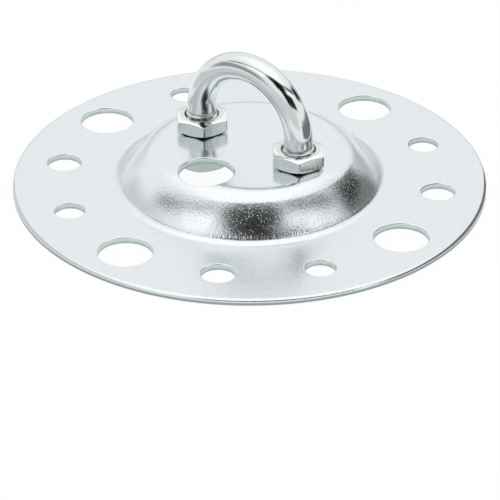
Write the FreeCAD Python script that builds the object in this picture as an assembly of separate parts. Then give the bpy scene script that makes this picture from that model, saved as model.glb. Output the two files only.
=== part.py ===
import FreeCAD, Part
import os
from math import cos, radians, sin, sqrt, tan

# Ceiling hook: a pressed round plate with a raised centre, and a U-bolt nutted through it.
# Millimetres. The plate's ceiling face lies on z = 0 and the U-bolt rises along +Z.
# The two legs of the U-bolt stand on the X axis.

# pressed plate
PLATE_DIAMETER = 150.0
SHEET = 2.0
DOME_HEIGHT = 13.7  # ceiling face to the outside of the raised centre
FOOT_CIRCLE = 88.5  # where the foot of the raised centre runs out on the flange
FOOT_BEND = 5.0  # outside radius of the foot
SHOULDER_BEND = 10.0  # outside radius of the shoulder
WALL_SLOPE = radians(48.0)
EDGE_BREAK = 0.4  # taken off both edges of the rim and the upper edge of each punched hole

# fixing holes, three sizes in turn around one circle
HOLE_MARGIN = 15.0  # rim to the circle of hole centres
LARGE_HOLE = 17.0
MEDIUM_HOLE = 10.6
SMALL_HOLE = 9.4
HOLE_SETS = 4
PATTERN_TURN = -1.5  # degrees from the line of the legs to the first large hole

# cable hole in the raised centre
CABLE_HOLE = 17.2
CABLE_HOLE_OFFSET = 22.0

# U-bolt
THREAD = 10.0
SHANK = 9.0
LEG_SPACING = 38.3
LOOP_TOP = 45.1  # ceiling face to the outside of the bend
THREAD_SHOWN = 1.6  # thread above the upper nut, with its run-out
THREAD_RUNOUT = 1.4
END_CHAMFER = 1.0
END_PROUD = 0.6  # leg end beyond the lower nut
LEG_CLEARANCE = 0.5  # on the diameter of each hole that a leg passes through

# nuts and lock washers
NUT_FLATS = 15.75
UPPER_NUT_HEIGHT = 5.0
LOWER_NUT_HEIGHT = 8.4
NUT_FACE = 14.6  # circle left flat on each end by the chamfer
NUT_CHAMFER = radians(30.0)
THREAD_CLEARANCE = 0.04
COUNTERSINK = 11.2
UPPER_NUT_TURN = (12.0, 8.5)  # degrees of each nut on its leg
LOWER_NUT_TURN = (-2.0, 14.0)
WASHER_DIAMETER = 15.7
WASHER_CLEARANCE = 0.3  # on the diameter of the bore
WASHER_THICKNESS = 2.2
WASHER_SPLIT = 1.2  # width of the slanted cut through the ring
WASHER_SPLIT_TURN = (250.0, 70.0)  # degrees of each cut on its leg
SPLIT_SLANT = radians(35.0)

# heights and positions that follow from the sizes above
HOLE_CIRCLE = PLATE_DIAMETER - 2 * HOLE_MARGIN
LEGS = (-LEG_SPACING / 2, LEG_SPACING / 2)
LEG_HOLE = THREAD + LEG_CLEARANCE
WASHER_BORE = THREAD + WASHER_CLEARANCE
DOME_UNDERSIDE = DOME_HEIGHT - SHEET
LOWER_NUT_TOP = DOME_UNDERSIDE - WASHER_THICKNESS
LOWER_NUT_BOTTOM = LOWER_NUT_TOP - LOWER_NUT_HEIGHT
LEG_END = LOWER_NUT_BOTTOM - END_PROUD
BEND_CENTRE = LOOP_TOP - SHANK / 2 - LEG_SPACING / 2
UP = FreeCAD.Vector(0, 0, 1)


def vec(x, y, z):
    return FreeCAD.Vector(x, y, z)


def section(points):
    """Closed face in the XZ plane from (r, z) corners, an arc given by its middle and its end."""
    edges = []
    last = points[0]
    for item in points[1:] + [points[0]]:
        if len(item) == 2 and isinstance(item[0], tuple):
            middle, end = item
            arc = Part.Arc(vec(last[0], 0, last[1]), vec(middle[0], 0, middle[1]), vec(end[0], 0, end[1]))
            edges.append(arc.toShape())
            last = end
        elif item != last:
            edges.append(Part.makeLine(vec(last[0], 0, last[1]), vec(item[0], 0, item[1])))
            last = item
    return Part.Face(Part.Wire(edges))


def turned(points):
    """Solid of revolution about the Z axis."""
    return section(points).revolve(vec(0, 0, 0), UP, 360)


def on_arc(centre, radius, angle):
    """Point on a bend, the angle taken from straight up toward the outside."""
    return (centre[0] + radius * sin(angle), centre[1] + radius * cos(angle))


def drill(diameter, x, y, top):
    """Cutter for a hole punched down from a face, its upper edge broken."""
    r = diameter / 2
    tool = turned([
        (0, -SHEET),
        (r, -SHEET),
        (r, top - EDGE_BREAK),
        (r + EDGE_BREAK, top),
        (r + EDGE_BREAK, top + SHEET),
        (0, top + SHEET),
    ])
    tool.translate(vec(x, y, 0))
    return tool


def plate_blank():
    """Flange, foot, wall, shoulder and flat top as one even sheet."""
    foot = (FOOT_CIRCLE / 2, SHEET + FOOT_BEND)
    wall_low = (foot[0] - FOOT_BEND * sin(WALL_SLOPE), foot[1] - FOOT_BEND * cos(WALL_SLOPE))
    drop = SHOULDER_BEND * (1 - cos(WALL_SLOPE))
    run = (DOME_HEIGHT - drop - wall_low[1]) / tan(WALL_SLOPE)
    shoulder = (wall_low[0] - run - SHOULDER_BEND * sin(WALL_SLOPE), DOME_HEIGHT - SHOULDER_BEND)
    rim = PLATE_DIAMETER / 2
    half = WALL_SLOPE / 2
    inner_shoulder = SHOULDER_BEND - SHEET
    inner_foot = -(FOOT_BEND + SHEET)
    return turned([
        (0, DOME_HEIGHT),
        (shoulder[0], DOME_HEIGHT),
        (on_arc(shoulder, SHOULDER_BEND, half), on_arc(shoulder, SHOULDER_BEND, WALL_SLOPE)),
        wall_low,
        (on_arc(foot, -FOOT_BEND, half), (foot[0], SHEET)),
        (rim - EDGE_BREAK, SHEET),
        (rim, SHEET - EDGE_BREAK),
        (rim, EDGE_BREAK),
        (rim - EDGE_BREAK, 0),
        (foot[0], 0),
        (on_arc(foot, inner_foot, half), on_arc(foot, inner_foot, WALL_SLOPE)),
        on_arc(shoulder, inner_shoulder, WALL_SLOPE),
        (on_arc(shoulder, inner_shoulder, half), (shoulder[0], DOME_UNDERSIDE)),
        (0, DOME_UNDERSIDE),
    ])


def ceiling_plate():
    """Pressed plate with its fixing holes, its cable hole and the two holes for the legs."""
    tools = [drill(CABLE_HOLE, 0, -CABLE_HOLE_OFFSET, DOME_HEIGHT)]
    for x in LEGS:
        tools.append(drill(LEG_HOLE, x, 0, DOME_HEIGHT))
    sizes = (LARGE_HOLE, MEDIUM_HOLE, SMALL_HOLE)
    count = HOLE_SETS * len(sizes)
    for i in range(count):
        angle = radians(PATTERN_TURN + 360.0 * i / count)
        x = HOLE_CIRCLE / 2 * cos(angle)
        y = HOLE_CIRCLE / 2 * sin(angle)
        tools.append(drill(sizes[i % len(sizes)], x, y, SHEET))
    return plate_blank().cut(tools)


def leg(x):
    """Straight leg with its threaded end, from below the lower nut up to the bend."""
    r = THREAD / 2
    thread_top = DOME_HEIGHT + UPPER_NUT_HEIGHT + THREAD_SHOWN
    body = turned([
        (0, LEG_END),
        (r - END_CHAMFER, LEG_END),
        (r, LEG_END + END_CHAMFER),
        (r, thread_top - THREAD_RUNOUT),
        (SHANK / 2, thread_top),
        (SHANK / 2, BEND_CENTRE),
        (0, BEND_CENTRE),
    ])
    body.translate(vec(x, 0, 0))
    return body


def u_bolt():
    """Round bar bent to half a circle over two threaded legs."""
    end = Part.makeCircle(SHANK / 2, vec(LEG_SPACING / 2, 0, BEND_CENTRE), UP)
    bend = Part.Face(Part.Wire([end])).revolve(vec(0, 0, BEND_CENTRE), vec(0, -1, 0), 180)
    return bend.fuse([leg(x) for x in LEGS]).removeSplitter()


def nut(x, bottom, height, turn):
    """Hexagon nut chamfered on both ends, with a countersunk bore."""
    corner = NUT_FLATS / sqrt(3)
    points = []
    for i in range(7):
        angle = radians(turn + 60.0 * i)
        points.append(vec(corner * cos(angle), corner * sin(angle), 0))
    prism = Part.Face(Part.makePolygon(points)).extrude(vec(0, 0, height))
    fall = (corner - NUT_FACE / 2) * tan(NUT_CHAMFER)
    blank = turned([
        (0, 0),
        (NUT_FACE / 2, 0),
        (corner, fall),
        (corner, height - fall),
        (NUT_FACE / 2, height),
        (0, height),
    ])
    bore = THREAD / 2 + THREAD_CLEARANCE
    sink = COUNTERSINK / 2 - bore
    cutter = turned([
        (0, 0),
        (bore + sink, 0),
        (bore, sink),
        (bore, height - sink),
        (bore + sink, height),
        (0, height),
    ])
    body = prism.common(blank).cut(cutter)
    body.translate(vec(x, 0, bottom))
    return body


def upper_nuts():
    """Thin nuts on top of the raised centre."""
    pairs = zip(LEGS, UPPER_NUT_TURN)
    return Part.makeCompound([nut(x, DOME_HEIGHT, UPPER_NUT_HEIGHT, turn) for x, turn in pairs])


def lower_nuts():
    """Full-height nuts inside the raised centre, below the lock washers."""
    pairs = zip(LEGS, LOWER_NUT_TURN)
    return Part.makeCompound([nut(x, LOWER_NUT_BOTTOM, LOWER_NUT_HEIGHT, turn) for x, turn in pairs])


def lock_washer(x, turn):
    """Split spring ring pressed flat, its cut slanted through the thickness."""
    ring = turned([
        (WASHER_BORE / 2, 0),
        (WASHER_DIAMETER / 2, 0),
        (WASHER_DIAMETER / 2, WASHER_THICKNESS),
        (WASHER_BORE / 2, WASHER_THICKNESS),
    ])
    lean = WASHER_THICKNESS / 2 * tan(SPLIT_SLANT)
    half = WASHER_SPLIT / 2
    corners = [
        vec(0, -half - lean, 0),
        vec(0, half - lean, 0),
        vec(0, half + lean, WASHER_THICKNESS),
        vec(0, -half + lean, WASHER_THICKNESS),
        vec(0, -half - lean, 0),
    ]
    split = Part.Face(Part.makePolygon(corners)).extrude(vec(WASHER_DIAMETER, 0, 0))
    body = ring.cut(split)
    body.rotate(vec(0, 0, 0), UP, turn)
    body.translate(vec(x, 0, LOWER_NUT_TOP))
    return body


def lock_washers():
    """Spring washers between the raised centre and the lower nuts."""
    pairs = zip(LEGS, WASHER_SPLIT_TURN)
    return Part.makeCompound([lock_washer(x, turn) for x, turn in pairs])


os.makedirs("parts", exist_ok=True)
ceiling_plate().exportStep("parts/ceiling_plate.step")
u_bolt().exportStep("parts/u_bolt.step")
upper_nuts().exportStep("parts/upper_nuts.step")
lock_washers().exportStep("parts/lock_washers.step")
lower_nuts().exportStep("parts/lower_nuts.step")
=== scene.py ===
from math import atan2, cos, degrees, hypot, pi, radians, sin, sqrt, tan

import bmesh
import bpy
from mathutils import Matrix, Vector


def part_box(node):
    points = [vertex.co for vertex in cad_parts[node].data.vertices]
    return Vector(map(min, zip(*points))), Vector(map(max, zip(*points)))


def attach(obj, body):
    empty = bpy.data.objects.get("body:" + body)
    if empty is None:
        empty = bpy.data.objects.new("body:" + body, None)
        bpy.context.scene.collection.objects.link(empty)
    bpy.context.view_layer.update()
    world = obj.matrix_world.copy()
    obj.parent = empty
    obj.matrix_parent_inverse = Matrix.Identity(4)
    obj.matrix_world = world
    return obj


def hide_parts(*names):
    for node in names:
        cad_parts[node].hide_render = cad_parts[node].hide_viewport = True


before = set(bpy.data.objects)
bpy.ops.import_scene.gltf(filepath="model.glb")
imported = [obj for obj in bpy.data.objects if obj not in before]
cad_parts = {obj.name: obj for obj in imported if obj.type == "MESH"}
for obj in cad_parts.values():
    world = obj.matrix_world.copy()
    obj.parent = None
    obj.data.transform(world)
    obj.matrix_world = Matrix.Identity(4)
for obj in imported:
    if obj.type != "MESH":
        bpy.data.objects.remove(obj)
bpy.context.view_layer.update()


# Ceiling plate: a round blank of mild steel sheet, drawn over a punch into a raised centre with a slightly
# crowned wall, then pierced from above with twelve fixing holes, a cable hole and two holes for the U-bolt.
MM = 0.001
SHEET = 2.0 * MM
RIM_RADIUS = 75.0 * MM
DOME_TOP = 13.7 * MM
FOOT_RADIUS = 44.1 * MM  # where the foot of the raised centre runs out on the flange
FOOT_BEND = 4.0 * MM
SHOULDER_BEND = 10.0 * MM
WALL_SLOPE = radians(46)  # half way down the wall
WALL_CROWN = radians(5)  # the wall is less steep by this at the shoulder, and steeper by it at the foot
SHOULDER_TURN = WALL_SLOPE - WALL_CROWN
FOOT_TURN = WALL_SLOPE + WALL_CROWN
WALL_BEND = (
    DOME_TOP - SHEET - SHOULDER_BEND * (1 - cos(SHOULDER_TURN)) - FOOT_BEND * (1 - cos(FOOT_TURN))
) / (cos(SHOULDER_TURN) - cos(FOOT_TURN))
FLAT_RADIUS = (
    FOOT_RADIUS
    - SHOULDER_BEND * sin(SHOULDER_TURN)
    - WALL_BEND * (sin(FOOT_TURN) - sin(SHOULDER_TURN))
    - FOOT_BEND * sin(FOOT_TURN)
)
WALL_CENTRE = (
    FLAT_RADIUS + (SHOULDER_BEND - WALL_BEND) * sin(SHOULDER_TURN),
    DOME_TOP - SHOULDER_BEND + (SHOULDER_BEND - WALL_BEND) * cos(SHOULDER_TURN),
)
BEND_STEPS = 20
WALL_STEPS = 10
PLATE_STEPS = 360
ROLL_WIDTH = 1.4 * MM  # rim edge rolled over by the blanking die
ROLL_DEPTH = 0.9 * MM
ROLL_STEPS = 12
RIM_ROUND = 0.25 * MM  # lower edge of the rim
RIM_STEPS = 3
LIP = 0.5 * MM  # sheet drawn down into each hole by the punch
LIP_LIFT = 0.01 * MM  # the lip's arc ends this far above the sheet, so that the cut meets it cleanly
LIP_STEPS = 6
PUNCH_REACH = 2 * SHEET  # from the ceiling face down, and from the upper face up
HOLE_STEPS = 96
HOLE_CIRCLE = 60.0 * MM  # radius
HOLE_SIZES = (17.0 * MM, 10.6 * MM, 9.4 * MM)  # diameters, in turn around the circle
HOLE_COUNT = 12
PATTERN_TURN = radians(-1.5)  # from the line of the legs to the first large hole
CABLE_HOLE = 17.2 * MM
CABLE_HOLE_PLACE = -22.0 * MM  # along Y
LEG_PLACE = 19.15 * MM  # along X, to both sides
LEG_HOLE = 10.5 * MM
MERGE = 0.001 * MM  # points nearer than this become one
SHARP_ANGLE = radians(35)


def run_to(bm, vert, x, z):
    """Draws a section on in a straight line in the XZ plane."""
    end = bmesh.ops.extrude_vert_indiv(bm, verts=[vert])["verts"][0]
    end.co = (x, 0, z)
    return end


def bend(bm, vert, x, z, angle, steps):
    """Draws a section on round the centre x, z, from up toward +X where the angle is positive."""
    turned = bmesh.ops.spin(
        bm, geom=[vert], cent=(x, 0, z), axis=(0, 1, 0), angle=angle, steps=steps,
    )
    return next(item for item in turned["geom_last"] if isinstance(item, bmesh.types.BMVert))


def lathe(bm, geom, steps):
    """Spins a section round the Z axis to a full turn, and returns the vertices it then has."""
    before = set(bm.verts) - {item for item in geom if isinstance(item, bmesh.types.BMVert)}
    bmesh.ops.spin(bm, geom=geom, cent=(0, 0, 0), axis=(0, 0, 1), angle=2 * pi, steps=steps, use_merge=True)
    bmesh.ops.remove_doubles(bm, verts=[v for v in bm.verts if v not in before], dist=MERGE)
    return [v for v in bm.verts if v not in before]


def piece(name, bm):
    """Object at the origin from a bmesh, which is freed."""
    mesh = bpy.data.meshes.new(name)
    bm.to_mesh(mesh)
    bm.free()
    made = bpy.data.objects.new(name, mesh)
    bpy.context.scene.collection.objects.link(made)
    return made


def combine(body, tool, operation):
    """Cuts a body by a tool, or keeps what they share, cleans the mesh and removes the tool."""
    modifier = body.modifiers.new("tool", "BOOLEAN")
    modifier.operation = operation
    modifier.solver = "EXACT"
    modifier.object = tool
    bpy.context.view_layer.update()
    ready = body.evaluated_get(bpy.context.evaluated_depsgraph_get())
    shaped = bpy.data.meshes.new_from_object(ready)
    body.modifiers.clear()
    bm = bmesh.new()
    bm.from_mesh(shaped)
    bmesh.ops.remove_doubles(bm, verts=bm.verts, dist=MERGE)
    bmesh.ops.dissolve_degenerate(bm, edges=bm.edges, dist=MERGE)
    bmesh.ops.recalc_face_normals(bm, faces=bm.faces)
    bm.to_mesh(shaped)
    bm.free()
    body.data = shaped
    bpy.data.objects.remove(tool)


def smooth(body):
    """Shades a body smooth up to its sharp edges, with large flats kept flat."""
    body.data.shade_smooth()
    body.data.set_sharp_from_angle(angle=SHARP_ANGLE)
    weighted = body.modifiers.new("flats", "WEIGHTED_NORMAL")
    weighted.keep_sharp = True


def plate_top(radius):
    """Height of the plate's outer face, on the flat, the shoulder or the flange."""
    if radius <= FLAT_RADIUS:
        return DOME_TOP
    if radius < FLAT_RADIUS + SHOULDER_BEND * sin(SHOULDER_TURN):
        return DOME_TOP - SHOULDER_BEND + sqrt(SHOULDER_BEND ** 2 - (radius - FLAT_RADIUS) ** 2)
    return SHEET


def punch(bm, x, y, diameter):
    """Cutter for one hole: a round punch with a flare that rolls the upper edge over."""
    r = diameter / 2
    top = plate_top(hypot(x, y))
    before = set(bm.verts)
    vert = bm.verts.new((0, 0, -PUNCH_REACH))
    vert = run_to(bm, vert, r, -PUNCH_REACH)
    vert = run_to(bm, vert, r, top - LIP + LIP_LIFT)
    vert = bend(bm, vert, r + LIP, top - LIP + LIP_LIFT, pi / 2, LIP_STEPS)
    vert = run_to(bm, vert, r + LIP, top + PUNCH_REACH)
    run_to(bm, vert, 0, top + PUNCH_REACH)
    wire = [v for v in bm.verts if v not in before]
    wire += dict.fromkeys(edge for v in wire for edge in v.link_edges)
    made = lathe(bm, wire, HOLE_STEPS)
    bmesh.ops.translate(bm, verts=made, vec=(x, y, 0))
    for v in made:
        if v.co.z > top - SHEET / 2:
            v.co.z += plate_top(hypot(v.co.x, v.co.y)) - top


sheet_bm = bmesh.new()
corner = sheet_bm.verts.new((0, 0, DOME_TOP))
corner = run_to(sheet_bm, corner, FLAT_RADIUS, DOME_TOP)
corner = bend(sheet_bm, corner, FLAT_RADIUS, DOME_TOP - SHOULDER_BEND, SHOULDER_TURN, BEND_STEPS)
corner = bend(sheet_bm, corner, WALL_CENTRE[0], WALL_CENTRE[1], 2 * WALL_CROWN, WALL_STEPS)
corner = bend(sheet_bm, corner, FOOT_RADIUS, SHEET + FOOT_BEND, -FOOT_TURN, BEND_STEPS)
for i in range(ROLL_STEPS + 1):
    turn = pi / 2 * i / ROLL_STEPS
    corner = run_to(
        sheet_bm,
        corner,
        RIM_RADIUS - ROLL_WIDTH * (1 - sin(turn)),
        SHEET - ROLL_DEPTH * (1 - cos(turn)),
    )
corner = run_to(sheet_bm, corner, RIM_RADIUS, RIM_ROUND)
corner = bend(sheet_bm, corner, RIM_RADIUS - RIM_ROUND, RIM_ROUND, pi / 2, RIM_STEPS)
corner = run_to(sheet_bm, corner, FOOT_RADIUS, 0)
corner = bend(sheet_bm, corner, FOOT_RADIUS, SHEET + FOOT_BEND, FOOT_TURN, BEND_STEPS)
corner = bend(sheet_bm, corner, WALL_CENTRE[0], WALL_CENTRE[1], -2 * WALL_CROWN, WALL_STEPS)
corner = bend(sheet_bm, corner, FLAT_RADIUS, DOME_TOP - SHOULDER_BEND, -SHOULDER_TURN, BEND_STEPS)
run_to(sheet_bm, corner, 0, DOME_TOP - SHEET)
lathe(sheet_bm, sheet_bm.verts[:] + sheet_bm.edges[:], PLATE_STEPS)
bmesh.ops.recalc_face_normals(sheet_bm, faces=sheet_bm.faces)
plate = piece("ceiling_plate_drawn", sheet_bm)

punch_bm = bmesh.new()
for i in range(HOLE_COUNT):
    turn = PATTERN_TURN + 2 * pi * i / HOLE_COUNT
    size = HOLE_SIZES[i % len(HOLE_SIZES)]
    punch(punch_bm, HOLE_CIRCLE * cos(turn), HOLE_CIRCLE * sin(turn), size)
for side in (-1, 1):
    punch(punch_bm, side * LEG_PLACE, 0, LEG_HOLE)
punch(punch_bm, 0, CABLE_HOLE_PLACE, CABLE_HOLE)
bmesh.ops.recalc_face_normals(punch_bm, faces=punch_bm.faces)
combine(plate, piece("punches", punch_bm), "DIFFERENCE")
smooth(plate)


def srgb(code):
    """Linear colour from a hex code."""
    parts = [int(code[i:i + 2], 16) / 255 for i in (1, 3, 5)]
    return [p / 12.92 if p <= 0.04045 else ((p + 0.055) / 1.055) ** 2.4 for p in parts] + [1.0]


def feed(tree, node, inputs):
    """Sets a node's inputs, by name or in order, and links those given as a socket or as a node."""
    pairs = inputs.items() if isinstance(inputs, dict) else enumerate(inputs)
    for socket, value in pairs:
        if isinstance(value, bpy.types.Node):
            value = value.outputs[0]
        if isinstance(value, bpy.types.NodeSocket):
            tree.links.new(value, node.inputs[socket])
        else:
            node.inputs[socket].default_value = value


def add(tree, kind, inputs, **settings):
    """Node of a kind, with its settings and its inputs."""
    made = tree.nodes.new(kind)
    for name, value in settings.items():
        setattr(made, name, value)
    feed(tree, made, inputs)
    return made


def metal(name, inputs):
    """Bare metal finish, with its shader's inputs."""
    made = bpy.data.materials.new(name)
    made.use_nodes = True
    shader = made.node_tree.nodes["Principled BSDF"]
    feed(made.node_tree, shader, {"Metallic": 1.0} | inputs)
    return made


# Bright zinc on drawn sheet: a hazy mirror with a fine grain, faint rolling lines where the sheet stayed
# flat, a sparkling orange peel where the punch stretched it, and draw marks along the foot of the wall.
# The grain, the lines and the pits are drawn a little coarser than real ones, so that they show.
ROLLED_LINE = 0.9 * MM
ROLLED_SQUEEZE = (0.3, 1, 1)  # the lines run along X
ROLLED_HEIGHT = 0.006 * MM
PEEL_GRAIN = 0.8 * MM
PEEL_HEIGHT = 0.03 * MM
PIT_SPACING = 0.65 * MM
PIT_RADIUS = 0.28  # share of the spacing
PIT_DEPTH = 0.04 * MM
WALL_LOW = FOOT_RADIUS - FOOT_BEND * sin(FOOT_TURN)
MARKS_START = (WALL_LOW - 0.6 * MM, WALL_LOW - 0.3 * MM)  # draw marks fade in and out over these radii
MARKS_END = (WALL_LOW, WALL_LOW + 0.5 * MM)
MARK_SPACING = 0.7 * MM
MARK_HEIGHT = 0.12 * MM
BLOOM_SIZE = 2.5 * MM  # clouds in the plating
BLOOM_RANGE = (0.3, 0.7)
FLAT_HAZE = 0.16  # roughness of the flat top
FLANGE_HAZE = 0.22
ROLL_POLISH = 0.16  # taken off the haze where the rim is rolled over
plate_zinc = metal("bright zinc on drawn sheet", {})
tree = plate_zinc.node_tree
place = add(tree, "ShaderNodeTexCoord", {}).outputs["Object"]
axes = add(tree, "ShaderNodeSeparateXYZ", [place])
level_place = add(tree, "ShaderNodeVectorMath", [place, (1, 1, 0)], operation="MULTIPLY")
radius = add(tree, "ShaderNodeVectorMath", [level_place], operation="LENGTH").outputs["Value"]
off_flat = add(
    tree,
    "ShaderNodeMapRange",
    [radius, FLAT_RADIUS, FLAT_RADIUS + SHOULDER_BEND / 2, 0.0, 1.0],
    interpolation_type="SMOOTHSTEP",
)
off_flange = add(
    tree,
    "ShaderNodeMapRange",
    [radius, FOOT_RADIUS - FOOT_BEND / 2, FOOT_RADIUS + FOOT_BEND / 2, 1.0, 0.0],
    interpolation_type="SMOOTHSTEP",
)
drawn = add(tree, "ShaderNodeMath", [off_flat, off_flange], operation="MULTIPLY")
squeezed = add(tree, "ShaderNodeVectorMath", [place, ROLLED_SQUEEZE], operation="MULTIPLY")
rolled = add(tree, "ShaderNodeTexNoise", {"Vector": squeezed, "Scale": 1 / ROLLED_LINE, "Detail": 3.0})
peel = add(tree, "ShaderNodeTexNoise", {"Vector": place, "Scale": 1 / PEEL_GRAIN, "Detail": 3.0})
pit_cell = add(tree, "ShaderNodeTexVoronoi", {"Vector": place, "Scale": 1 / PIT_SPACING})
pit = add(
    tree,
    "ShaderNodeMapRange",
    [pit_cell.outputs["Distance"], 0.0, PIT_RADIUS, 0.0, 1.0],
    interpolation_type="SMOOTHSTEP",
)
relief = {}
for height, distance, on_flat, on_drawn in (
    (rolled, ROLLED_HEIGHT, 1.0, 0.0),
    (peel, PEEL_HEIGHT, 0.7, 1.0),
    (pit, PIT_DEPTH, 0.4, 1.0),
):
    strength = add(
        tree,
        "ShaderNodeMapRange",
        [drawn, 0.0, 1.0, on_flat, on_drawn],
        interpolation_type="SMOOTHSTEP",
    )
    layer = {"Strength": strength, "Distance": distance, "Height": height}
    relief = {"Normal": add(tree, "ShaderNodeBump", layer | relief)}
around = add(tree, "ShaderNodeMath", [axes.outputs["Y"], axes.outputs["X"]], operation="ARCTAN2")
along_foot = add(tree, "ShaderNodeMath", [around, FOOT_RADIUS / MARK_SPACING], operation="MULTIPLY")
mark = add(
    tree,
    "ShaderNodeTexNoise",
    {"W": along_foot, "Scale": 1.0, "Detail": 2.0},
    noise_dimensions="1D",
)
marks_in = add(
    tree, "ShaderNodeMapRange", [radius, *MARKS_START, 0.0, 1.0], interpolation_type="SMOOTHSTEP",
)
marks_out = add(
    tree, "ShaderNodeMapRange", [radius, *MARKS_END, 1.0, 0.0], interpolation_type="SMOOTHSTEP",
)
at_foot = add(tree, "ShaderNodeMath", [marks_in, marks_out], operation="MULTIPLY")
layer = {"Strength": at_foot, "Distance": MARK_HEIGHT, "Height": mark}
relief = {"Normal": add(tree, "ShaderNodeBump", layer | relief)}
sheet_haze = add(
    tree,
    "ShaderNodeMapRange",
    [radius, FLAT_RADIUS, FOOT_RADIUS + FOOT_BEND, FLAT_HAZE, FLANGE_HAZE],
    interpolation_type="SMOOTHSTEP",
)
rim_gloss = add(
    tree,
    "ShaderNodeMapRange",
    [radius, RIM_RADIUS - ROLL_WIDTH, RIM_RADIUS - ROLL_WIDTH / 2, 0.0, ROLL_POLISH],
    interpolation_type="SMOOTHSTEP",
)
haze = add(tree, "ShaderNodeMath", [sheet_haze, rim_gloss], operation="SUBTRACT")
cloud = add(tree, "ShaderNodeTexNoise", {"Vector": place, "Scale": 1 / BLOOM_SIZE, "Detail": 5.0})
bloom = add(
    tree, "ShaderNodeMapRange", [cloud, *BLOOM_RANGE, 0.0, 1.0], interpolation_type="SMOOTHSTEP",
)
shade = add(
    tree,
    "ShaderNodeMix",
    {"Factor": bloom, "A": srgb("#E3E8EB"), "B": srgb("#E6EBEE")},
    data_type="RGBA",
)
feed(
    tree,
    tree.nodes["Principled BSDF"],
    {"Base Color": shade.outputs["Result"], "Roughness": haze} | relief,
)

# Zinc on a punched hole: the punch burnishes the upper part of the cut and tears the lower part, so the
# wall is a dull grey green with an uneven darker band below.
TEAR_GRAIN = 1.6 * MM
TEAR_UNEVEN = 1.2 * MM
TEAR_TOP = (0.9 * MM, 1.6 * MM)  # the dark band fades out over these heights
edge_zinc = metal("zinc on punched edge", {"Roughness": 0.4})
tree = edge_zinc.node_tree
place = add(tree, "ShaderNodeTexCoord", {}).outputs["Object"]
height = add(tree, "ShaderNodeSeparateXYZ", [place]).outputs["Z"]
raised = add(tree, "ShaderNodeMath", [height, DOME_TOP - 1.5 * SHEET], operation="GREATER_THAN")
ceiling_side = add(tree, "ShaderNodeMath", [raised, DOME_TOP - SHEET], operation="MULTIPLY")
depth = add(tree, "ShaderNodeMath", [height, ceiling_side], operation="SUBTRACT")
tear = add(tree, "ShaderNodeTexNoise", {"Vector": place, "Scale": 1 / TEAR_GRAIN, "Detail": 3.0})
uneven = add(tree, "ShaderNodeMath", [tear, TEAR_UNEVEN], operation="MULTIPLY")
ragged = add(tree, "ShaderNodeMath", [depth, uneven], operation="ADD")
burnished = add(
    tree, "ShaderNodeMapRange", [ragged, *TEAR_TOP, 0.0, 1.0], interpolation_type="SMOOTHSTEP",
)
shade = add(
    tree,
    "ShaderNodeMix",
    {"Factor": burnished, "A": srgb("#A6B5B3"), "B": srgb("#C9D6D5")},
    data_type="RGBA",
)
feed(tree, tree.nodes["Principled BSDF"], {"Base Color": shade.outputs["Result"]})

# Zinc on the blanked rim: the same cut on the outside of the sheet, darker and rougher.
rim_zinc = metal("zinc on blanked rim", {"Base Color": srgb("#97A5A3"), "Roughness": 0.42})

UPRIGHT = 0.1  # the normals of cut walls rise by less than this
plate.data.materials.append(plate_zinc)
plate.data.materials.append(edge_zinc)
plate.data.materials.append(rim_zinc)
for face in plate.data.polygons:
    if abs(face.normal.z) < UPRIGHT:
        on_rim = hypot(face.center.x, face.center.y) > RIM_RADIUS - RIM_ROUND
        face.material_index = 2 if on_rim else 1
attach(plate, "root")
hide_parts("ceiling_plate")


# U-bolt: round bar of drawn steel with a thread rolled on both ends, then bent to half a circle. It is
# bright zinc plated after bending, and two nuts on each leg hold it in the plate.
THREAD = 10.0 * MM
PITCH = 1.5 * MM
THREAD_DEPTH = 0.92 * MM
THREAD_CREST = 1 / 8  # flats on the crest and in the root, as shares of the pitch
THREAD_ROOT = 1 / 4
SHANK = 9.0 * MM
LOOP_TOP = 45.1 * MM
LEG_END = 0.5 * MM
END_CHAMFER = 1.0 * MM
THREAD_TOP = 20.3 * MM
THREAD_RUNOUT = 1.4 * MM
BEND_CENTRE = LOOP_TOP - SHANK / 2 - LEG_PLACE
BAR_STEPS = 64
ARCH_STEPS = 96
RINGS_PER_PITCH = 12
BAR_MERGE = 0.002 * MM  # points nearer than this become one


def thread_radius(height, angle):
    """Radius of the rolled thread at a height and an angle round the leg."""
    phase = (height / PITCH - angle / (2 * pi)) % 1
    flank = (abs(phase - 0.5) - THREAD_CREST / 2) / (0.5 - THREAD_CREST / 2 - THREAD_ROOT / 2)
    full = THREAD / 2 - THREAD_DEPTH * min(1, max(0, flank))
    shown = min(1, max(0, (THREAD_TOP - height) / THREAD_RUNOUT))
    chamfer = THREAD / 2 - END_CHAMFER + height - LEG_END
    return min(SHANK / 2 + (full - SHANK / 2) * shown, chamfer)


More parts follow.
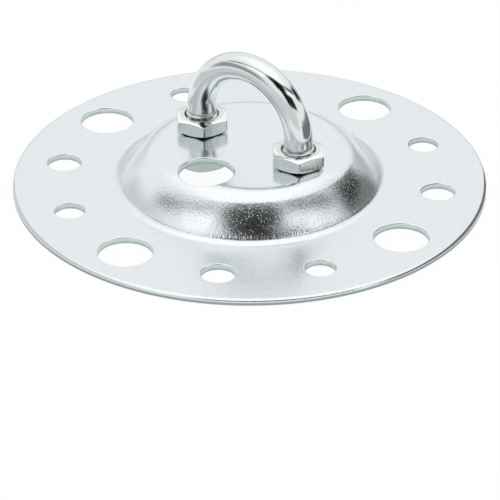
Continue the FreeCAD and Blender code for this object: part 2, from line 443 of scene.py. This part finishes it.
bolt_bm = bmesh.new()
ring = bmesh.ops.create_circle(
    bolt_bm,
    segments=BAR_STEPS,
    radius=SHANK / 2,
    matrix=Matrix.Translation((LEG_PLACE, 0, BEND_CENTRE)),
)["verts"]
ring_edges = list(dict.fromkeys(edge for v in ring for edge in v.link_edges))
bmesh.ops.spin(
    bolt_bm,
    geom=ring + ring_edges,
    cent=(0, 0, BEND_CENTRE),
    axis=(0, -1, 0),
    angle=pi,
    steps=ARCH_STEPS,
    use_duplicate=False,
)
arch = set(bolt_bm.verts)
thread_rings = round((THREAD_TOP - LEG_END) / PITCH * RINGS_PER_PITCH)
heights = [THREAD_TOP + (LEG_END - THREAD_TOP) * i / thread_rings for i in range(thread_rings + 1)]
loose = [edge for edge in ring_edges if edge.is_valid]
for height in heights:
    grown = bmesh.ops.extrude_edge_only(bolt_bm, edges=loose)["geom"]
    loose = [item for item in grown if isinstance(item, bmesh.types.BMEdge) and item.is_boundary]
    for v in grown:
        if isinstance(v, bmesh.types.BMVert):
            angle = atan2(v.co.y, v.co.x - LEG_PLACE)
            r = thread_radius(height, angle)
            v.co = (LEG_PLACE + r * cos(angle), r * sin(angle), height)
bmesh.ops.edgeloop_fill(bolt_bm, edges=loose)
leg = [v for v in bolt_bm.verts if v not in arch]
leg_faces = list(dict.fromkeys(face for v in leg for face in v.link_faces))
twin = bmesh.ops.duplicate(bolt_bm, geom=leg_faces)["geom"]
bmesh.ops.rotate(
    bolt_bm,
    verts=[item for item in twin if isinstance(item, bmesh.types.BMVert)],
    cent=(0, 0, 0),
    matrix=Matrix.Rotation(pi, 3, "Z"),
)
bmesh.ops.remove_doubles(bolt_bm, verts=bolt_bm.verts, dist=BAR_MERGE)
bmesh.ops.recalc_face_normals(bolt_bm, faces=bolt_bm.faces)
u_bolt = piece("u_bolt_bent", bolt_bm)
smooth(u_bolt)

# Zinc on the U-bolt: a clear mirror on the bar, and darker and duller on the rolled thread.
bar_zinc = metal("bright zinc on drawn bar", {"Base Color": srgb("#E2E6E7"), "Roughness": 0.12})
thread_zinc = metal("dull zinc on rolled thread", {"Base Color": srgb("#CDD3D2"), "Roughness": 0.2})
u_bolt.data.materials.append(bar_zinc)
u_bolt.data.materials.append(thread_zinc)
for face in u_bolt.data.polygons:
    face.material_index = 1 if face.center.z < THREAD_TOP else 0
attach(u_bolt, "root")
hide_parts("u_bolt")


# Nuts: hexagon steel nuts, thin ones that clamp the plate from above and full ones inside the raised
# centre. They are cold formed, chamfered on both ends, tapped and zinc plated.
NUT_SIDES = 6
NUT_FLATS = 15.75 * MM
NUT_CORNER = NUT_FLATS / sqrt(3)
NUT_FACE = 14.0 * MM  # circle left flat on each end by the chamfer
NUT_CHAMFER = radians(30)
NUT_BORE = 10.08 * MM
COUNTERSINK = 11.2 * MM
BLANK_MARGIN = 1.1  # the turned blank is wider than the corners by this factor
BLANK_STEPS = 96
NUT_EDGE = 0.16 * MM
NUT_EDGE_STEPS = 3
NUT_EDGE_ANGLE = radians(25)  # edges that turn by less stay as they are
CORNER_ROUND = 0.6 * MM  # taken along each flat from a corner
CORNER_STEPS = 6
UPPER_NUT_TURNS = (12.0, 8.5)  # degrees
LOWER_NUT_TURNS = (-2.0, 14.0)
END_LEAN = 0.99  # the normals of ends rise by more than this
CHAMFER_LEAN = 0.5  # those of chamfers by more than this, and those of flats by less


def hex_nut(bm, x, bottom, top, turn):
    """One nut: the hexagon that it shares with a turned blank, bored and countersunk."""
    hexagon = bmesh.new()
    vert = hexagon.verts.new((NUT_CORNER, 0, bottom))
    run_to(hexagon, vert, NUT_CORNER, top)
    lathe(hexagon, hexagon.verts[:] + hexagon.edges[:], NUT_SIDES)
    bmesh.ops.holes_fill(hexagon, edges=hexagon.edges)
    bmesh.ops.recalc_face_normals(hexagon, faces=hexagon.faces)
    bmesh.ops.bevel(
        hexagon,
        geom=[edge for edge in hexagon.edges if edge.verts[0].co.z != edge.verts[1].co.z],
        offset=CORNER_ROUND,
        offset_type="OFFSET",
        affect="EDGES",
        segments=CORNER_STEPS,
        profile=0.5,
        material=-1,
    )
    blank = bmesh.new()
    fall = (NUT_CORNER - NUT_FACE / 2) * tan(NUT_CHAMFER)
    sink = (COUNTERSINK - NUT_BORE) / 2
    first = blank.verts.new((COUNTERSINK / 2, 0, bottom))
    vert = run_to(blank, first, NUT_FACE / 2, bottom)
    vert = run_to(blank, vert, NUT_CORNER * BLANK_MARGIN, bottom + fall * BLANK_MARGIN)
    vert = run_to(blank, vert, NUT_CORNER * BLANK_MARGIN, top - fall * BLANK_MARGIN)
    vert = run_to(blank, vert, NUT_FACE / 2, top)
    vert = run_to(blank, vert, COUNTERSINK / 2, top)
    vert = run_to(blank, vert, NUT_BORE / 2, top - sink)
    vert = run_to(blank, vert, NUT_BORE / 2, bottom + sink)
    blank.edges.new((vert, first))
    lathe(blank, blank.verts[:] + blank.edges[:], BLANK_STEPS)
    bmesh.ops.recalc_face_normals(blank, faces=blank.faces)
    body = piece("nut", hexagon)
    combine(body, piece("blank", blank), "INTERSECT")
    body.data.transform(Matrix.Translation((x, 0, 0)) @ Matrix.Rotation(radians(turn), 4, "Z"))
    bm.from_mesh(body.data)
    bpy.data.objects.remove(body)


def nut_pair(name, node, turns, finishes):
    """Both nuts of a node, one on each leg, with finishes for the ends, chamfers, flats and bores."""
    low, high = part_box(node)
    bm = bmesh.new()
    for side, turn in zip((-1, 1), turns):
        hex_nut(bm, side * LEG_PLACE, low.z, high.z, turn)
    made = piece(name, bm)
    for finish in finishes:
        made.data.materials.append(finish)
    # Each face takes the copy for the way it points, or the bore's copy near the bore. On the upper nuts
    # the chamfer copy holds a painted highlight and the flat and bore copies hold painted shade; on the
    # lower nuts every copy holds painted shade.
    for face in made.data.polygons:
        lean = abs(face.normal.z)
        face.material_index = 0 if lean > END_LEAN else 1 if lean > CHAMFER_LEAN else 2
        if hypot(abs(face.center.x) - LEG_PLACE, face.center.y) < COUNTERSINK / 2:
            face.material_index = 3
    rounded = made.modifiers.new("edges", "BEVEL")
    rounded.width = NUT_EDGE
    rounded.segments = NUT_EDGE_STEPS
    rounded.limit_method = "ANGLE"
    rounded.angle_limit = NUT_EDGE_ANGLE
    smooth(made)
    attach(made, "root")
    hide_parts(node)


# Zinc on a nut, in lit and shaded copies picked by the way each face points: bright on the turned ends,
# lighter still on the turned chamfers as a painted highlight, greyer with a satin grain on the flats as
# painted shade, and dark in the bore and countersink as painted shade. The nuts inside the raised centre
# are a duller grey green, darker all over as painted shade under the raised centre.
# The grain is the forming die's upright marks, drawn coarser than they are, so that they show.
FORMED_MARK = 0.7 * MM
FORMED_STRETCH = (1, 1, 0.2)
FORMED_HEIGHT = 0.05 * MM


def formed(name, inputs):
    """Zinc over the upright marks that the forming die leaves."""
    made = metal(name, inputs)
    tree = made.node_tree
    place = add(tree, "ShaderNodeTexCoord", {}).outputs["Object"]
    upright = add(tree, "ShaderNodeVectorMath", [place, FORMED_STRETCH], operation="MULTIPLY")
    marks = add(tree, "ShaderNodeTexNoise", {"Vector": upright, "Scale": 1 / FORMED_MARK, "Detail": 3.0})
    bump = add(tree, "ShaderNodeBump", {"Distance": FORMED_HEIGHT, "Height": marks})
    feed(tree, tree.nodes["Principled BSDF"], {"Normal": bump})
    return made


end_zinc = metal("zinc on turned nut end", {"Base Color": srgb("#DDE1E0"), "Roughness": 0.14})
# Chamfers: lighter than the ends, as a painted highlight.
chamfer_zinc_painted_highlight = metal("zinc on nut chamfer with painted highlight", {"Base Color": srgb("#F2F4F3"), "Roughness": 0.12})
# Flats: greyer than the ends, as painted shade.
flat_zinc_painted_shade = formed("zinc on cold formed nut", {"Base Color": srgb("#D5DBD9"), "Roughness": 0.16})
# Bore and countersink: darkened as painted shade where the thread fills the bore.
bore_zinc_painted_shade = metal("zinc in tapped bore with painted shade", {"Base Color": srgb("#8A9593"), "Roughness": 0.35})
# Lower nuts: duller, and darker as painted shade under the raised centre.
lower_nut_zinc_painted_shade = formed("dull zinc in painted shade on lower nut", {"Base Color": srgb("#B3C2BF"), "Roughness": 0.32})
upper_finishes = (end_zinc, chamfer_zinc_painted_highlight, flat_zinc_painted_shade, bore_zinc_painted_shade)
lower_finishes_painted_shade = (lower_nut_zinc_painted_shade, lower_nut_zinc_painted_shade, lower_nut_zinc_painted_shade, bore_zinc_painted_shade)
nut_pair("upper_nuts_formed", "upper_nuts", UPPER_NUT_TURNS, upper_finishes)
nut_pair("lower_nuts_formed", "lower_nuts", LOWER_NUT_TURNS, lower_finishes_painted_shade)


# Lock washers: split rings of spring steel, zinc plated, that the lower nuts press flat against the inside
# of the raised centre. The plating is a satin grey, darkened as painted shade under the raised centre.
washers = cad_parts["lock_washers"]
washers.data.materials[0] = metal(
    "satin zinc with painted shade on spring steel", {"Base Color": srgb("#C9CECF"), "Roughness": 0.3},
)


# Floor and studio: a white paper sweep under a broad diffuser of three panes, brighter toward its middle.
# Dark gap strips lie around the diffuser, and black and grey cards stand on all sides, so that the bright
# metal has something dark to mirror.
WHITE = (1, 1, 1, 1)
CAMERA_PLACE = (0.5356, -0.6953, 0.4951)
CAMERA_TURN = (radians(59.35), 0.0, radians(37.6))
CAMERA_LENS = 228.6  # millimetres, like the sensor
SENSOR = 36.0
FLOOR_REACH = 6.0
FLOOR_DROP = 0.05 * MM  # keeps the floor clear of the plate's ceiling face
FLOOR_GLOW = 0.95  # share of plain white where the floor is seen, and the rest keeps the shadow
AMBIENT = 0.9
DIFFUSER_RISE = 59.0  # degrees above the horizon behind the part
GAP_DISTANCE = 1.1
GAP_STEPS = 24


def toward(azimuth, elevation, distance):
    """Point in a direction from the part, the azimuth in degrees from the camera to its right."""
    turn = CAMERA_TURN[2] + radians(azimuth)
    level = distance * cos(radians(elevation))
    return Vector((level * sin(turn), -level * cos(turn), distance * sin(radians(elevation))))


def facing(place):
    """Matrix at a place that looks at the part along its own -Z."""
    return Matrix.Translation(place) @ (-place).to_track_quat("-Z", "Y").to_matrix().to_4x4()


def softbox(name, place, size, radiance):
    """Area lamp in a direction, of a width and a height, as bright as the radiance where white is 1."""
    width, height = size
    lamp = bpy.data.lights.new(name, "AREA")
    lamp.shape = "RECTANGLE"
    lamp.size = width
    lamp.size_y = height
    lamp.energy = radiance * pi * width * height
    made = bpy.data.objects.new(name, lamp)
    made.matrix_world = facing(toward(*place))
    bpy.context.scene.collection.objects.link(made)


def mirrored_only(name, bm, level, soft):
    """Card of an even grey that only reflections see, clear toward its borders over a share of it."""
    made = piece(name, bm)
    finish = bpy.data.materials.new(name)
    finish.use_nodes = True
    tree = finish.node_tree
    tree.nodes.remove(tree.nodes["Principled BSDF"])
    spread = add(tree, "ShaderNodeSeparateXYZ", [add(tree, "ShaderNodeTexCoord", {}).outputs["UV"]])
    fades = []
    for share in (spread.outputs["X"], spread.outputs["Y"]):
        rise = add(
            tree, "ShaderNodeMapRange", [share, 0.0, soft, 0.0, 1.0], interpolation_type="SMOOTHSTEP",
        )
        fall = add(
            tree, "ShaderNodeMapRange", [share, 1 - soft, 1.0, 1.0, 0.0], interpolation_type="SMOOTHSTEP",
        )
        fades.append(add(tree, "ShaderNodeMath", [rise, fall], operation="MULTIPLY"))
    cover = add(tree, "ShaderNodeMath", fades, operation="MULTIPLY")
    clear = add(tree, "ShaderNodeBsdfTransparent", {})
    even = add(tree, "ShaderNodeEmission", {"Color": WHITE, "Strength": level})
    mixed = add(tree, "ShaderNodeMixShader", [cover, clear, even])
    feed(tree, tree.nodes["Material Output"], {"Surface": mixed})
    made.data.materials.append(finish)
    made.visible_camera = False
    made.visible_diffuse = False
    made.visible_shadow = False


def card(name, place, size, level, soft):
    """Flat card in a direction, of a width and a height, that faces the part."""
    bm = bmesh.new()
    bm.loops.layers.uv.new("card")
    bmesh.ops.create_grid(bm, x_segments=1, y_segments=1, size=0.5, calc_uvs=True)
    bmesh.ops.scale(bm, vec=(*size, 1), verts=bm.verts)
    bmesh.ops.transform(bm, matrix=facing(toward(*place)), verts=bm.verts)
    mirrored_only(name, bm, level, soft)


def gap(name, around, off, level, soft):
    """Strip of the gap around the diffuser: degrees round it from the front, and degrees off its axis."""
    start, end = around
    inner, outer = off
    bm = bmesh.new()
    wrap = bm.loops.layers.uv.new("card")
    axis = toward(180, DIFFUSER_RISE, 1.0)
    ends = [bm.verts.new(toward(0, 180 - DIFFUSER_RISE - tilt, GAP_DISTANCE)) for tilt in off]
    edge = bm.edges.new(ends)
    bmesh.ops.rotate(bm, verts=ends, cent=(0, 0, 0), matrix=Matrix.Rotation(radians(start), 3, axis))
    bmesh.ops.spin(
        bm, geom=ends + [edge], cent=(0, 0, 0), axis=axis, angle=radians(end - start), steps=GAP_STEPS,
    )
    for i, face in enumerate(bm.faces):
        for loop in face.loops:
            tilt = degrees(loop.vert.co.angle(axis))
            near = loop.vert.co.dot(face.calc_center_median().cross(axis)) > 0
            loop[wrap].uv = ((i + near) / GAP_STEPS, (tilt - inner) / (outer - inner))
    mirrored_only(name, bm, level, soft)


def seen_rays(tree):
    """1 for rays from the camera, from reflections and through glass, 0 for the rest."""
    ray = add(tree, "ShaderNodeLightPath", {}).outputs
    seen = add(tree, "ShaderNodeMath", [ray["Is Camera Ray"], ray["Is Glossy Ray"]], operation="MAXIMUM")
    return add(tree, "ShaderNodeMath", [seen, ray["Is Transmission Ray"]], operation="MAXIMUM")


floor_bm = bmesh.new()
bmesh.ops.create_grid(floor_bm, x_segments=1, y_segments=1, size=FLOOR_REACH)
bmesh.ops.translate(floor_bm, verts=floor_bm.verts, vec=(0, 0, -FLOOR_DROP))
floor = piece("floor", floor_bm)
paper = bpy.data.materials.new("white paper sweep")
paper.use_nodes = True
tree = paper.node_tree
tree.nodes.remove(tree.nodes["Principled BSDF"])
matte = add(tree, "ShaderNodeBsdfDiffuse", {"Color": srgb("#F4F4F4")})
glow = add(tree, "ShaderNodeEmission", {"Color": WHITE, "Strength": 1.0})
share = add(tree, "ShaderNodeMath", [seen_rays(tree), FLOOR_GLOW], operation="MULTIPLY")
mixed = add(tree, "ShaderNodeMixShader", [share, matte, glow])
feed(tree, tree.nodes["Material Output"], {"Surface": mixed})
floor.data.materials.append(paper)

world = bpy.data.worlds.new("studio")
bpy.context.scene.world = world
world.use_nodes = True
tree = world.node_tree
ambient = tree.nodes["Background"]
feed(tree, ambient, {"Color": WHITE, "Strength": AMBIENT})
white = add(tree, "ShaderNodeBackground", {"Color": WHITE, "Strength": 1.0})
mixed = add(tree, "ShaderNodeMixShader", [seen_rays(tree), ambient, white])
feed(tree, tree.nodes["World Output"], {"Surface": mixed})

# A place is degrees to the camera's right, degrees up and metres off. Sizes are metres, levels are greys.
for distance, width in ((1.2, 1.9), (1.25, 1.5), (1.3, 1.1)):
    softbox("diffuser", place=(180, 85, distance), size=(width, width), radiance=0.08)
softbox("left softbox", place=(-58, 46, 1.2), size=(0.45, 0.3), radiance=0.3)
softbox("right softbox", place=(62, 45, 1.2), size=(0.45, 0.3), radiance=0.25)
card("front card", place=(3, 60, 1.0), size=(0.9, 0.34), level=0.005, soft=0.17)
card("lower front card", place=(2, 49, 1.0), size=(0.7, 0.34), level=0.005, soft=0.2)
card("front right card", place=(25, 35, 1.0), size=(0.96, 0.44), level=0.01, soft=0.12)
gap("right gap", around=(68, 128), off=(46, 69), level=0.005, soft=0.3)
gap("front right gap", around=(20, 80), off=(51, 61), level=0.08, soft=0.25)
gap("left gap", around=(-92, -44), off=(53, 63), level=0.08, soft=0.4)
gap("front left gap", around=(-56, -20), off=(54, 61), level=0.2, soft=0.25)
card("left card", place=(-76, 15, 1.0), size=(1.5, 0.6), level=0.36, soft=0.3)
card("low left card", place=(-72, 5, 0.082), size=(0.18, 0.05), level=0.7, soft=0.12)
card("low front card", place=(-10, 16, 0.17), size=(0.3, 0.11), level=0.75, soft=0.2)
card("low right card", place=(80, 3, 0.085), size=(0.15, 0.055), level=0.2, soft=0.12)
card("far right card", place=(84, 2, 0.5), size=(0.85, 0.16), level=0.3, soft=0.2)
card("back card", place=(180, 4, 1.0), size=(3.4, 0.7), level=0.72, soft=0.45)
card("back right card", place=(138, 3, 0.9), size=(0.8, 0.5), level=0.5, soft=0.4)

camera = bpy.data.cameras.new("camera")
camera.lens = CAMERA_LENS
camera.sensor_width = SENSOR
stand = bpy.data.objects.new("camera", camera)
stand.location = CAMERA_PLACE
stand.rotation_euler = CAMERA_TURN
bpy.context.scene.collection.objects.link(stand)
bpy.context.scene.camera = stand
bpy.context.scene.view_settings.view_transform = "Standard"
